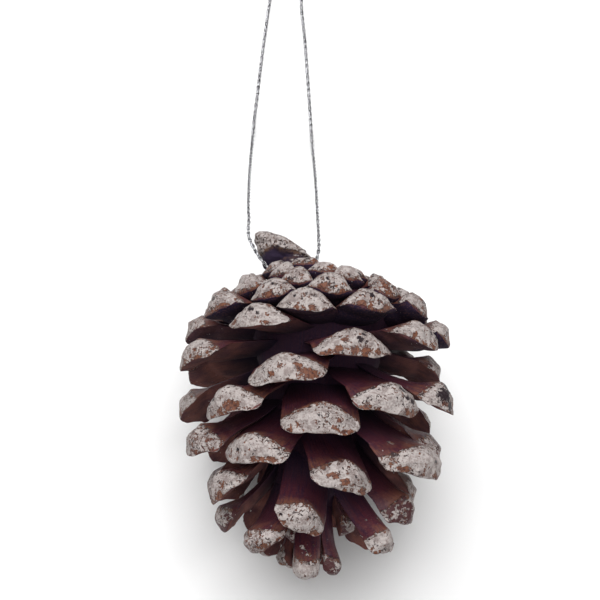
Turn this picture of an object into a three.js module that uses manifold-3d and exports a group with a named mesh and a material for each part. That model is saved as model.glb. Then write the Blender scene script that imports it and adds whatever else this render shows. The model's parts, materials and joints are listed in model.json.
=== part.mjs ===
// An open pine cone with frosted scale ends, lying on its side, with a thin cord loop tied round its neck.
// Millimetres, +Z up. The floor is z = 0, and the cone's stem end points along +Y.
// The cone is laid out in a frame of its own first: its axis is Y, with the tip at -Y, and scale 0 faces +Z.
// Places along the axis are counted towards the tip from scale 0's end.

import * as THREE from "three";
import { mergeVertices } from "three/addons/utils/BufferGeometryUtils.js";
import Module from "manifold-3d";

const wasm = await Module();
wasm.setup();

// The spiral: scale numbers rise towards the tip, each turned from the last by the divergence, in degrees.
const FIRST_SCALE = -66;
const LAST_SCALE = 31;
const LAST_SMALL_SCALE = -37;
const LAST_DOME_SCALE = -22;
const FIRST_TIP_SCALE = 20;
const DIVERGENCE = 137.5;
const PHASE = 2.2;
const TURN_SPREAD = 2.5;
const SLOPE_SPREAD = 3;

// How each measure of a scale changes along the spiral, as [scale number, value].
const END_RADIUS = [[-75, 8], [-60, 14], [-50, 18.5], [-38, 25], [-28, 28.6], [-18, 32.2], [-8, 32.4],
  [0, 30], [8, 25.5], [15, 21], [20, 13], [25, 8], [31, 3]];
const END_PLACE = [[-75, -42], [-60, -41.4], [-50, -39.8], [-44, -37.6], [-38, -35.2], [-28, -31.8],
  [-18, -26.3], [-8, -11.3], [0, 0], [8, 12.4], [15, 22], [20, 27], [25, 30], [31, 31]];
const END_SLOPE = [[-75, -62], [-60, -50], [-50, -36], [-38, -20], [-28, -9], [-19, 1], [-11, 16], [-6, 25],
  [2, 30], [10, 35], [15, 40], [18, 52], [21, 72], [31, 80]];
const FACE_TILT = [[-75, 0], [-50, 3], [-38, 10], [-28, 18], [-20, 26], [-10, 38], [0, 41], [10, 35],
  [18, 20], [31, 10]];
const CORNER_SETBACK = [[-75, 0.2], [-30, 0.3], [-18, 0.6], [-10, 1], [31, 1]];
const CORNER_RAISE = [[-75, 1], [-42, 1.4], [-30, 1.8], [-18, 1.6], [-13, 0.4], [-8, 0], [5, 0], [13, 0.7],
  [31, 1]];
const FACE_HEIGHT = [[-75, 4.5], [-50, 6], [-38, 6.8], [-26, 7.6], [-16, 8.2], [-10, 8.7], [0, 8.8], [10, 8],
  [15, 7], [18, 6], [21, 4.5], [31, 4]];
const FULLNESS = [[-75, 2.1], [-32, 2.1], [-20, 1.8], [-10, 1.6], [14, 1.6], [20, 2.2], [31, 2.2]];
const HALF_WIDTH = [[-75, 3], [-50, 4.2], [-42, 4.6], [-34, 6], [-26, 7.4], [-20, 7.8], [-14, 9.4], [-8, 9.8],
  [0, 9.5], [5, 9], [8, 8.3], [13, 6.8], [18, 5.2], [21, 3.3], [31, 3]];
const ROOT_PLACE = [[-75, -38], [-47, -33], [-28, -29], [-19, -27], [-10, -24], [0, -17.5], [8, -9], [18, 4],
  [31, 16]];
const ROOT_RADIUS = 4.5;

// Scales that grew out of line: turned round the axis in degrees, dropped towards the tip and reaching out in
// millimetres, rolled anticlockwise in degrees as their ends are seen, and how many times as wide as their
// kind.
const LEANS = {
  "-63": [0, -1.5, 1, 0, 1.3], "-58": [0, -1, 0.5, 0, 1.1], "-55": [0, -0.4, 0, 0, 1.1],
  "-47": [-3, -0.5, 0, -6, 1], "-42": [-4, 0, 0, 0, 1], "-39": [0, -0.5, 0, 0, 1], "-37": [0, 0, 0, 10, 1],
  "-34": [-3, -0.5, 0, -3, 1], "-31": [0, -1, 0, -6, 1], "-29": [0, 0, 0, 10, 0.88],
  "-26": [-3, 0, 0, 4, 1], "-24": [0, 0, 1, 6, 1], "-23": [0, 0, 1, 0, 1], "-21": [-1, -0.6, 0, 0, 0.94],
  "-18": [5, 1.5, 0, 0, 1.15], "-16": [5, -1.3, 0, 0, 0.95], "-15": [0, 0, -2, 0, 1],
  "-14": [0, 0, 3, 0, 1], "-13": [2, 0, 0, 6, 1.02], "-11": [0, -2, 1.5, 3, 1], "-10": [1, 3.3, 2, 5, 0.85],
  "-8": [5, 0, 0, 7, 1], "-6": [0, 0, 1, 0, 1], "-5": [4, 0, 0, 6, 1.04], "-3": [3, 0, 0, 3, 1],
  "-2": [0, 3, 0, 0, 1], "-1": [0, 0, 2, 0, 1], 0: [3, 0, 0, 3, 1], 2: [8, 0, 1, -12, 1],
  3: [6, 1.5, 4, 12, 1.4], 5: [-5, -0.8, 0, -7, 1], 8: [0, 0, 0, -4, 0.98], 10: [2, 0, 1.5, 12, 1.12],
  11: [0, 0, 2, 30, 0.85], 13: [5, 3.6, 0, -24, 0.95], 15: [3, -1, 0, -4, 1.2], 16: [12, 3, 5, 32, 0.65],
  18: [0, 3, 2, 6, 1.35], 19: [0, -5, -4, 0, 1], 21: [-8, 7, 0, 0, 1], 23: [0, -6, -3, 0, 1],
  24: [0, 3, 0, 0, 1], 26: [0, -5, 0, 0, 1], 27: [0, -3, 0, 0, 1], 31: [0, -6, 0, 0, 1],
};
const IN_LINE = [0, 0, 0, 0, 1];

// The strap of a scale: its root, its middle and its waist behind the thick end. share runs along its middle
// line and half is of its half width at the end. above and below are in millimetres, or in face heights.
const ROOT = { share: 0, half: 0.8, above: 1.2, below: 1.2 };
const ROOT_HALF_LIMIT = 5;
const MIDDLE = { share: 0.55, half: 0.94, above: 1.3, below: 1.5 };
const WAIST = { share: 1, half: 0.97, above: 0.24, below: 0.24 };
const WAIST_BACK = 0.32;
const WAIST_BEHIND = 0.34;
const BEND_BEHIND = 0.25;
const STRAP_ROUND = 2.5;
const STRAP_EDGE = 0.5;

// The thick end of a scale. Its back is placed from the crest and its underside from the rim: ahead and
// behind count in scale lengths, up, facing and lift in face heights, half and setback in half widths at the
// end. edge says where between underside and back the thin side runs, and corner how far it is raised.
const END_STATIONS = [
  { ahead: -0.16, up: -0.2, facing: 0, behind: 0.26, lift: 0.14, half: 0.98,
    setback: 0.22, edge: 0.3, corner: 0.04 },
  { ahead: 0, up: 0, facing: 0, behind: 0.12, lift: 0.02, half: 1,
    setback: 0.3, edge: 0.14, corner: 0.08 },
  { ahead: 0, up: -0.45, facing: 0.22, behind: 0.05, lift: 0, half: 1,
    setback: 0.4, edge: 0.1, corner: 0.13 },
  { ahead: 0, up: -1, facing: 0, behind: 0, lift: 0, half: 0.92,
    setback: 0.42, edge: 0, corner: 0.18 },
];
const ACROSS_LARGE = [-1, -0.5, 0, 0.5, 1];
const ACROSS_SMALL = [-1, -0.35, 0.35, 1];

// The woody spindle inside, as [radius, place along the axis]. It is thick under the crowded dome scales.
const SPINDLE = [[0, -41], [8, -40.5], [15, -38.5], [20, -35], [21, -31], [18.5, -27], [16, -22], [14, -15],
  [12.5, -6], [10.5, 3], [9, 11], [6.5, 18], [0, 24]];
const SPINDLE_SIDES = 8;

// The neck, from inside the dome to under the stub, and the cord wrapped round it.
const NECK_BASE = new THREE.Vector3(-4, 35, 0);
const NECK_TOP = new THREE.Vector3(-9, 48.5, -2);
const NECK_RADIUS = 4.3;
const NECK_PROFILE = [[2.7, 0], [0.6, 0.45], [0, 0.7], [0, 1]];
const NECK_SIDES = 14;
const CORD_DIAMETER = 0.9;
const CLEARANCE = 0.3;
const WRAP_TURNS = 2;
const WRAP_SHARE = 0.66;
const KNOT_RADIUS = 1.2;
const KNOT_PLACE = new THREE.Vector3(-12.2, 42.6, 1.8);
const KNOT_SIDES = 10;
const KNOT_RINGS = 6;

// The broken stub on the neck: a woody lump, thick at its left end and thin at its right, whose underside
// narrows to the neck.
const STUB_CENTRE = new THREE.Vector3(-11, 50, -2);
const STUB_HALF_LENGTH = 8.1;
const STUB_HALF_DEPTH = 6;
const STUB_THICK = 3.4;
const STUB_THIN = 1.4;
const STUB_UNDER = 8.5;
const STUB_UNDER_POWER = 0.9;
const STUB_SQUARENESS = 0.7;
const STUB_KNOBS = 0.08;
const STUB_TILT = -18;
const STUB_SIDES = 14;
const STUB_RINGS = 9;

// The cone lies on its side: tipped down at its tip, and moved so that the floor takes a little off its
// lowest scale ends and the middle of its box is over the origin.
const REST_PITCH = 5.5;
const REST_SHIFT = new THREE.Vector3(-0.25, -8.91, 30.87);
const LYING = new THREE.Matrix4().makeRotationX(THREE.MathUtils.degToRad(REST_PITCH)).setPosition(REST_SHIFT);
const FLOOR_CUT = 120;
const SMALLEST_RELIEF = 0.15;

// The loop of cord as it lies, from the knot over the floor and back to the other side of the wrap.
const CORD_SIDES = 8;
const CORD_STEPS = 80;
const CORD_ROUTE = [
  [-14.3, 34.3, 37.1], [-16.7, 36.7, 37.6], [-18.6, 39.5, 37.7], [-19.9, 42.3, 37.2], [-20.3, 45.1, 36.3],
  [-20.4, 48.4, 35], [-20.8, 51.9, 32.8], [-21.1, 56.4, 29.3], [-21.6, 65.5, 20.9], [-22, 75.6, 11.6],
  [-22.2, 85.2, 4], [-22.3, 93, 0.8], [-22.1, 99.3, 0.6], [-21.7, 112, 0.55], [-21.1, 125, 0.55],
  [-20.7, 132.9, 0.55], [-21, 143.9, 0.55], [-20.7, 152.9, 0.55], [-18.7, 158.4, 0.55], [-15.9, 160.4, 0.55],
  [-13.1, 158.2, 0.55], [-11.6, 151.9, 0.55], [-11.4, 142.9, 0.55], [-11.7, 132.3, 0.55], [-9.8, 119.4, 0.55],
  [-8.1, 106.8, 0.55], [-6.5, 94.3, 0.6], [-5.7, 87.6, 1.9], [-4.8, 79.4, 6.3], [-3.9, 70.4, 13.1],
  [-3.2, 61.2, 20.8], [-2.6, 52.4, 28], [-2.1, 45.4, 33.2], [-1.9, 42, 34.5], [-2, 40.1, 34.5],
  [-2.3, 38.4, 34.1],
];

const BARK = { color: 0x6b3a22, roughness: 0.65, metalness: 0 };
const SILVER = { color: 0xb4b4b8, roughness: 0.4, metalness: 0.7 };

// The value at scale n of a measure that is given at a few scales.
function along(table, n) {
  const next = table.findIndex(([at]) => at >= n);
  const [n0, v0] = table[next - 1];
  const [n1, v1] = table[next];
  return THREE.MathUtils.lerp(v0, v1, (n - n0) / (n1 - n0));
}

// An even spread from -1 to 1 that is the same for the same number and kind on each run.
function spread(number, kind) {
  const value = (number + 100) * 0.7548776662 + kind * 0.569840291;
  return 2 * (value - Math.floor(value)) - 1;
}

// Only the points and triangles of a geometry, with points at the same place made one.
function bare(geometry) {
  geometry.deleteAttribute("normal");
  geometry.deleteAttribute("uv");
  return mergeVertices(geometry);
}

function closedGeometry(points, triangles) {
  const geometry = new THREE.BufferGeometry();
  geometry.setAttribute("position", new THREE.Float32BufferAttribute(points.flatMap((p) => p.toArray()), 3));
  return geometry.setIndex(triangles.flat());
}

function toSolid(geometry) {
  const vertProperties = new Float32Array(geometry.attributes.position.array);
  const triVerts = new Uint32Array(geometry.index.array);
  return new wasm.Manifold(new wasm.Mesh({ numProp: 3, vertProperties, triVerts }));
}

function fromSolid(solid) {
  const { vertProperties, triVerts } = solid.getMesh();
  const geometry = new THREE.BufferGeometry();
  geometry.setAttribute("position", new THREE.Float32BufferAttribute(vertProperties, 3));
  return geometry.setIndex(Array.from(triVerts));
}

// Adds the two triangles of a quad, without any that has lost a side.
function addQuad(triangles, a, b, c, d) {
  for (const corners of [[a, b, c], [a, c, d]]) {
    if (new Set(corners).size === 3) triangles.push(corners);
  }
}

// A point off another by shares of some directions.
function offset(from, ...moves) {
  return moves.reduce((point, [direction, amount]) => point.addScaledVector(direction, amount), from.clone());
}

// Where scale n's root and end are, and its directions: across it, ahead out of its end, and up its back.
function scaleFrame(n) {
  const [turn, drop, reach, roll, wide] = LEANS[n] ?? IN_LINE;
  const angle = THREE.MathUtils.degToRad(PHASE + DIVERGENCE * n + turn + TURN_SPREAD * spread(n, 1));
  const slope = THREE.MathUtils.degToRad(along(END_SLOPE, n) + SLOPE_SPREAD * spread(n, 2));
  const out = new THREE.Vector3(Math.sin(angle), 0, Math.cos(angle));
  const tipward = new THREE.Vector3(0, -1, 0);
  const centre = new THREE.Vector3();
  const ahead = offset(centre, [out, Math.cos(slope)], [tipward, Math.sin(slope)]);
  const across = new THREE.Vector3(Math.cos(angle), 0, -Math.sin(angle));
  const back = offset(centre, [out, Math.sin(slope)], [tipward, -Math.cos(slope)]);
  return {
    across: across.applyAxisAngle(ahead, THREE.MathUtils.degToRad(roll)),
    ahead,
    back: back.applyAxisAngle(ahead, THREE.MathUtils.degToRad(roll)),
    root: offset(centre, [out, ROOT_RADIUS], [tipward, along(ROOT_PLACE, n)]),
    end: offset(centre, [out, along(END_RADIUS, n) + reach], [tipward, along(END_PLACE, n) + drop]),
    width: along(HALF_WIDTH, n) * wide,
  };
}

// Scale n station by station, from root to rim: the middle of its back and of its underside, and its section.
function scaleStations(n, { ahead, back, root, end, width }) {
  const height = along(FACE_HEIGHT, n);
  const tilt = THREE.MathUtils.degToRad(along(FACE_TILT, n));
  const centre = new THREE.Vector3();
  const up = offset(centre, [ahead, -Math.sin(tilt)], [back, Math.cos(tilt)]);
  const facing = offset(centre, [ahead, Math.cos(tilt)], [back, Math.sin(tilt)]);
  const crest = offset(end, [up, height / 2]);
  const rim = offset(end, [up, -height / 2]);
  const reach = root.distanceTo(end);
  const waist = offset(rim, [back, WAIST_BACK * height], [ahead, -WAIST_BEHIND * reach]);
  const bend = offset(waist, [ahead, -BEND_BEHIND * reach]);
  const middleLine = new THREE.QuadraticBezierCurve3(root, bend, waist);
  const strapStation = ({ share, above, below }, half, unit) => ({
    top: offset(middleLine.getPoint(share), [back, above * unit]),
    bottom: offset(middleLine.getPoint(share), [back, -below * unit]),
    half, setback: 0, edge: STRAP_EDGE, round: STRAP_ROUND, corner: centre,
  });
  const setting = along(CORNER_SETBACK, n) * width;
  const round = along(FULLNESS, n);
  const raising = along(CORNER_RAISE, n) * height;
  const endStation = (spec) => ({
    top: offset(crest, [ahead, spec.ahead * reach], [up, spec.up * height], [facing, spec.facing * height]),
    bottom: offset(rim, [ahead, -spec.behind * reach], [back, spec.lift * height]),
    half: spec.half * width, setback: spec.setback * setting, edge: spec.edge, round,
    corner: offset(centre, [up, spec.corner * raising]),
  });
  const rootStation = strapStation(ROOT, Math.min(ROOT_HALF_LIMIT, ROOT.half * width), 1);
  const middleStation = strapStation(MIDDLE, MIDDLE.half * width, 1);
  const waistStation = strapStation(WAIST, WAIST.half * width, height);
  const ends = END_STATIONS.map(endStation);
  if (n <= LAST_SMALL_SCALE) return [rootStation, waistStation, ...ends.slice(1)];
  if (n <= LAST_DOME_SCALE || n >= FIRST_TIP_SCALE) return [rootStation, waistStation, ...ends];
  return [rootStation, middleStation, waistStation, ...ends];
}

// One scale as a closed solid: a back and an underside of points that share their side edges and their rim.
function scaleGeometry(n) {
  const frame = scaleFrame(n);
  const stations = scaleStations(n, frame);
  const shares = n <= LAST_SMALL_SCALE || n >= FIRST_TIP_SCALE ? ACROSS_SMALL : ACROSS_LARGE;
  const points = [];
  const place = (station, share, middle) => {
    const side = station.bottom.clone().lerp(station.top, station.edge);
    const fullness = 1 - Math.abs(share) ** station.round;
    points.push(offset(side.lerp(middle, fullness), [frame.across, share * station.half],
      [frame.ahead, -station.setback * share * share], [station.corner, share * share]));
    return points.length - 1;
  };
  const above = stations.map((station) => shares.map((share) => place(station, share, station.top)));
  const last = stations.length - 1;
  const below = stations.map((station, i) => shares.map((share, j) => {
    const shared = i === last || Math.abs(share) === 1;
    return shared ? above[i][j] : place(station, share, station.bottom);
  }));
  const triangles = [];
  for (let j = 0; j < shares.length - 1; j += 1) {
    addQuad(triangles, above[0][j], above[0][j + 1], below[0][j + 1], below[0][j]);
    for (let i = 0; i < last; i += 1) {
      addQuad(triangles, above[i][j], above[i + 1][j], above[i + 1][j + 1], above[i][j + 1]);
      addQuad(triangles, below[i][j], below[i][j + 1], below[i + 1][j + 1], below[i + 1][j]);
    }
  }
  return closedGeometry(points, triangles);
}

function latheAlongY(profile, sides) {
  return bare(new THREE.LatheGeometry(profile.map(([radius, y]) => new THREE.Vector2(radius, y)), sides));
}

function spindleGeometry() {
  return latheAlongY(SPINDLE.map(([radius, place]) => [radius, -place]).reverse(), SPINDLE_SIDES);
}

// Turns a geometry made along +Y to stand along the neck, with its middle at a share of the neck's length.
function alongNeck(geometry, share) {
  const direction = NECK_TOP.clone().sub(NECK_BASE).normalize();
  const turn = new THREE.Quaternion().setFromUnitVectors(new THREE.Vector3(0, 1, 0), direction);
  const foot = NECK_BASE.clone().lerp(NECK_TOP, share);
  return geometry.applyQuaternion(turn).translate(foot.x, foot.y, foot.z);
}

function neckGeometry() {
  const length = NECK_BASE.distanceTo(NECK_TOP);
  const outline = NECK_PROFILE.map(([flare, share]) => [NECK_RADIUS + flare, share * length]);
  return alongNeck(latheAlongY([[0, 0], ...outline, [0, length]], NECK_SIDES), 0);
}

function stubGeometry() {
  const geometry = bare(new THREE.SphereGeometry(1, STUB_SIDES, STUB_RINGS));
  const position = geometry.attributes.position;
  for (let i = 0; i < position.count; i += 1) {
    const [x, y, z] = [position.getX(i), position.getY(i), position.getZ(i)];
    const above = THREE.MathUtils.lerp(STUB_THICK, STUB_THIN, (x + 1) / 2) * Math.abs(y) ** STUB_SQUARENESS;
    const below = -STUB_UNDER * Math.max(1 - Math.hypot(x, z), 0) ** STUB_UNDER_POWER;
    const rise = y > 0 ? above : below;
    const knob = 1 + STUB_KNOBS * spread(i, 5);
    position.setXYZ(i, STUB_HALF_LENGTH * x * knob, rise * knob, STUB_HALF_DEPTH * z * knob);
  }
  return geometry.rotateZ(THREE.MathUtils.degToRad(STUB_TILT))
    .translate(STUB_CENTRE.x, STUB_CENTRE.y, STUB_CENTRE.z);
}

// The cord's turns round the neck, and its knot. With room, it is the space that the wood leaves round them.
function wrapSolid(room) {
  const inner = NECK_RADIUS + CLEARANCE - room;
  const outer = NECK_RADIUS + CLEARANCE + CORD_DIAMETER + room;
  const half = (WRAP_TURNS * CORD_DIAMETER) / 2 + room;
  const ring = latheAlongY([[inner, -half], [outer, -half], [outer, half], [inner, half], [inner, -half]],
    2 * NECK_SIDES);
  const knot = bare(new THREE.SphereGeometry(KNOT_RADIUS + room, KNOT_SIDES, KNOT_RINGS));
  knot.translate(KNOT_PLACE.x, KNOT_PLACE.y, KNOT_PLACE.z);
  return toSolid(alongNeck(ring, WRAP_SHARE).applyMatrix4(LYING)).add(toSolid(knot.applyMatrix4(LYING)));
}

// Everything that grew as one piece, with the wrap's space and the floor's flats taken off.
function coneSolid() {
  const grown = [spindleGeometry(), neckGeometry(), stubGeometry()];
  for (let n = FIRST_SCALE; n <= LAST_SCALE; n += 1) grown.push(scaleGeometry(n));
  const solids = grown.map((geometry) => toSolid(geometry.applyMatrix4(LYING)));
  const underFloor = bare(new THREE.BoxGeometry(FLOOR_CUT, FLOOR_CUT, FLOOR_CUT));
  underFloor.translate(0, 0, -FLOOR_CUT / 2);
  const whole = solids.reduce((all, one) => all.add(one));
  return whole.subtract(toSolid(underFloor)).subtract(wrapSolid(CLEARANCE)).simplify(SMALLEST_RELIEF);
}

function cordGeometry() {
  const points = CORD_ROUTE.map((point) => new THREE.Vector3(...point));
  const route = new THREE.CatmullRomCurve3(points, false, "centripetal");
  const section = new THREE.Shape();
  section.absarc(0, 0, CORD_DIAMETER / 2, 0, 2 * Math.PI);
  return bare(new THREE.ExtrudeGeometry(section, {
    steps: CORD_STEPS, curveSegments: CORD_SIDES / 2, bevelEnabled: false, extrudePath: route,
  }));
}

function piece(name, geometry, look) {
  const mesh = new THREE.Mesh(geometry, new THREE.MeshStandardMaterial(look));
  mesh.name = name;
  return mesh;
}

const object = new THREE.Group();
object.add(piece("cone", fromSolid(coneSolid()), BARK));
object.add(piece("cord_wrap", fromSolid(wrapSolid(0)), SILVER));
object.add(piece("hanging_cord", cordGeometry(), SILVER));

export default object;
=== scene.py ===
"""An open pine cone with frosted scale ends and a twisted metallic hanging cord, lying on a pale floor.

The cone is laid out in millimetres in a frame of its own: its axis is Y, with the tip at -Y, and scale 0
faces +Z. It is then turned onto its side, scaled to metres and put where the CAD solid is.
"""

import json
import math

import bmesh
import bpy
import numpy as np
from mathutils import Matrix, Vector

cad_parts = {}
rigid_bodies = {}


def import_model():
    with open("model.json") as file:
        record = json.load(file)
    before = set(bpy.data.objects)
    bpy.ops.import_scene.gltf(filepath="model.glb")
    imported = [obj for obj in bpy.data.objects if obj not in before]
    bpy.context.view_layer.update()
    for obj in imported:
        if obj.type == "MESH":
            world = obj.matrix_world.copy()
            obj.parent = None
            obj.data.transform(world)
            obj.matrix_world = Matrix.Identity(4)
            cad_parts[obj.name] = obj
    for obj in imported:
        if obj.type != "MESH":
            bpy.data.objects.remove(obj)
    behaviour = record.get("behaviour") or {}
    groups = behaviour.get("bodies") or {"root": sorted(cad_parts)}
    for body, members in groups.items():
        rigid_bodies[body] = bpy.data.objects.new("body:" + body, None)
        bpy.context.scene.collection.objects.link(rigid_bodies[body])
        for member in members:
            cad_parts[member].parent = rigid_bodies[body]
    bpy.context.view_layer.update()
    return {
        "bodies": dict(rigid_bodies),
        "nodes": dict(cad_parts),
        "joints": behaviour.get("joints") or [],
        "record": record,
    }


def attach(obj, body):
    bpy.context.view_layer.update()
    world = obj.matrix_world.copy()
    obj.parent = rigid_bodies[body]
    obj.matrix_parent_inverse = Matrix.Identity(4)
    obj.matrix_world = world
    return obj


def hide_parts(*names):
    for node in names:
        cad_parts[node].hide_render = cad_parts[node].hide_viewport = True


MM = 0.001
MM_IN_METRE = 1000

# The camera, in millimetres: it looks down on the lying cone, rolled a little.
EYE = Vector((-5.74, -151.1, 511.51))
TARGET = Vector((-5.74, 24.01, 43.18))
CAMERA_UP = Vector((-0.07324, 0.93416, 0.34927))
LENS = 120

# How the cone lies.
REST_PITCH = math.radians(5.5)
REST_SHIFT = np.array([-0.25, -8.91, 30.87])

# The spiral: scale numbers rise towards the tip, each turned from the last by the divergence, in degrees.
INNERMOST_SCALE = -75
FIRST_SCALE = -66
LAST_SCALE = 31
LAST_SMALL_SCALE = -37
LAST_DOME_SCALE = -22
LAST_UPPER_SCALE = -2
FIRST_TIP_SCALE = 20
DIVERGENCE = 137.5
PHASE = 2.2
TURN_SPREAD = 2.5
SLOPE_SPREAD = 3

# How each measure of a scale changes along the spiral, as (scale number, value).
END_RADIUS = [(-75, 8), (-60, 14), (-50, 18.5), (-38, 25), (-28, 28.6), (-18, 32.2), (-8, 32.4), (0, 30),
              (8, 25.5), (15, 21), (20, 13), (25, 8), (31, 3)]
END_PLACE = [(-75, -42), (-60, -41.4), (-50, -39.8), (-44, -37.6), (-38, -35.2), (-28, -31.8), (-18, -26.3),
             (-8, -11.3), (0, 0), (8, 12.4), (15, 22), (20, 27), (25, 30), (31, 31)]
END_SLOPE = [(-75, -62), (-60, -50), (-50, -36), (-38, -20), (-28, -9), (-19, 1), (-11, 16), (-6, 25),
             (2, 30), (10, 35), (15, 40), (18, 52), (21, 72), (31, 80)]
FACE_TILT = [(-75, 0), (-50, 3), (-38, 10), (-28, 18), (-20, 26), (-10, 38), (0, 41), (10, 35), (18, 20),
             (31, 10)]
CORNER_SETBACK = [(-75, 0.2), (-30, 0.3), (-18, 0.6), (-10, 1), (31, 1)]
CORNER_RAISE = [(-75, 1), (-42, 1.4), (-30, 1.8), (-18, 1.6), (-13, 0.4), (-8, 0), (5, 0), (13, 0.7), (31, 1)]
FACE_HEIGHT = [(-75, 4.5), (-50, 6), (-38, 6.8), (-26, 7.6), (-16, 8.2), (-10, 8.7), (0, 8.8), (10, 8),
               (15, 7), (18, 6), (21, 4.5), (31, 4)]
FULLNESS = [(-75, 2.1), (-32, 2.1), (-20, 1.8), (-10, 1.6), (14, 1.6), (20, 2.2), (31, 2.2)]
HALF_WIDTH = [(-75, 3), (-50, 4.2), (-42, 4.6), (-34, 6), (-26, 7.4), (-20, 7.8), (-14, 9.4), (-8, 9.8),
              (0, 9.5), (5, 9), (8, 8.3), (13, 6.8), (18, 5.2), (21, 3.3), (31, 3)]
ROOT_PLACE = [(-75, -38), (-47, -33), (-28, -29), (-19, -27), (-10, -24), (0, -17.5), (8, -9), (18, 4),
              (31, 16)]
ROOT_RADIUS = 4.5

# Scales that grew out of line: turned round the axis in degrees, dropped towards the tip and reaching out in
# millimetres, rolled anticlockwise in degrees as their ends are seen, and how many times as wide as the rule
# gives.
LEANS = {
    -63: (0, -1.5, 1, 0, 1.3), -58: (0, -1, 0.5, 0, 1.1), -55: (0, -0.4, 0, 0, 1.1),
    -47: (-3, -0.5, 0, -6, 1), -42: (-4, 0, 0, 0, 1), -39: (0, -0.5, 0, 0, 1), -37: (0, 0, 0, 10, 1),
    -34: (-3, -0.5, 0, -3, 1), -31: (0, -1, 0, -6, 1), -29: (0, 0, 0, 10, 0.88), -26: (-3, 0, 0, 4, 1),
    -24: (0, 0, 1, 6, 1), -23: (0, 0, 1, 0, 1), -21: (-1, -0.6, 0, 0, 0.94), -18: (5, 1.5, 0, 0, 1.15),
    -16: (5, -1.3, 0, 0, 0.95), -15: (0, 0, -2, 0, 1), -14: (0, 0, 3, 0, 1), -13: (2, 0, 0, 6, 1.02),
    -11: (0, -2, 1.5, 3, 1), -10: (1, 3.3, 2, 5, 0.85), -8: (5, 0, 0, 7, 1), -6: (0, 0, 1, 0, 1),
    -5: (4, 0, 0, 6, 1.04), -3: (3, 0, 0, 3, 1), -2: (0, 3, 0, 0, 1), -1: (0, 0, 2, 0, 1),
    0: (3, 0, 0, 3, 1), 2: (8, 0, 1, -12, 1), 3: (6, 1.5, 4, 12, 1.4), 5: (-5, -0.8, 0, -7, 1),
    8: (0, 0, 0, -4, 0.98), 10: (2, 0, 1.5, 12, 1.12), 11: (0, 0, 2, 30, 0.85), 13: (5, 3.6, 0, -24, 0.95),
    15: (3, -1, 0, -4, 1.2), 16: (12, 3, 5, 32, 0.65), 18: (0, 3, 2, 6, 1.35), 19: (0, -5, -4, 0, 1),
    21: (-8, 7, 0, 0, 1), 23: (0, -6, -3, 0, 1), 24: (0, 3, 0, 0, 1), 26: (0, -5, 0, 0, 1),
    27: (0, -3, 0, 0, 1), 31: (0, -6, 0, 0, 1),
}
IN_LINE = (0, 0, 0, 0, 1)

# The strap of a scale: its root, its middle and its waist behind the thick end. share runs along its middle
# line and half is of its half width at the end. above and below are in millimetres, or in face heights.
ROOT = {"share": 0, "half": 0.8, "above": 1.2, "below": 1.2}
ROOT_HALF_LIMIT = 5
MIDDLE = {"share": 0.55, "half": 0.94, "above": 1.3, "below": 1.5}
WAIST = {"share": 1, "half": 0.97, "above": 0.24, "below": 0.24}
WAIST_BACK = 0.32
WAIST_BEHIND = 0.34
BEND_BEHIND = 0.25
STRAP_ROUND = 2.5
STRAP_EDGE = 0.5

# The thick end of a scale, station by station: how far its back is ahead of the crest, above it and out of
# the face, and how far its underside is behind the rim and above it. Then come its half width, its corners'
# setback, where its thin side runs between underside and back, and how far its corners are raised.
END_STATIONS = [
    (-0.16, -0.2, 0, 0.26, 0.14, 0.98, 0.22, 0.3, 0.04),
    (0, 0, 0, 0.12, 0.02, 1, 0.3, 0.14, 0.08),
    (0, -0.45, 0.22, 0.05, 0, 1, 0.4, 0.1, 0.13),
    (0, -1, 0, 0, 0, 0.92, 0.42, 0, 0.18),
]

TIPWARD = np.array([0.0, -1.0, 0.0])

# Even spreads: the steps that a number and a kind make round the unit. Each use has a kind of its own.
SPREAD_STEPS = (0.7548776662, 0.569840291)
SPREAD_START = 100
TURN_KIND = 1
SLOPE_KIND = 2
TONE_KIND = 7
WEAR_KIND = 8
WAVE_KIND = 10

# The fixed pattern that the noise is made from.
LATTICE_WAVE = np.array([127.1, 311.7, 74.7])
LATTICE_FOLD = 43758.5453


def along(table, n):
    """The value at scale n of a measure that is given at a few scales."""
    return float(np.interp(n, [at for at, _ in table], [value for _, value in table]))


def spread(number, kind):
    """An even spread from -1 to 1 that is the same for the same number and kind on each run."""
    value = (number + SPREAD_START) * SPREAD_STEPS[0] + kind * SPREAD_STEPS[1]
    return 2 * (value - math.floor(value)) - 1


def to_world(points):
    """Points of the cone's own frame, in millimetres, as metres in the scene."""
    turn = np.array(Matrix.Rotation(REST_PITCH, 3, "X"))
    return (np.asarray(points, float) @ turn.T + REST_SHIFT) * MM


def lattice_value(cell):
    """A value from 0 to 1 for each lattice cell."""
    wave = np.sin(cell @ LATTICE_WAVE) * LATTICE_FOLD
    return wave - np.floor(wave)


def noise(points, size):
    """Smooth noise from -1 to 1, with bumps of the given size."""
    scaled = points / size
    base = np.floor(scaled)
    part = scaled - base
    part = part * part * (3 - 2 * part)
    total = np.zeros(len(points))
    for corner in np.ndindex(2, 2, 2):
        weight = np.prod(np.where(np.array(corner) == 1, part, 1 - part), axis=1)
        total += weight * lattice_value(base + corner)
    return 2 * total - 1


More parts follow.
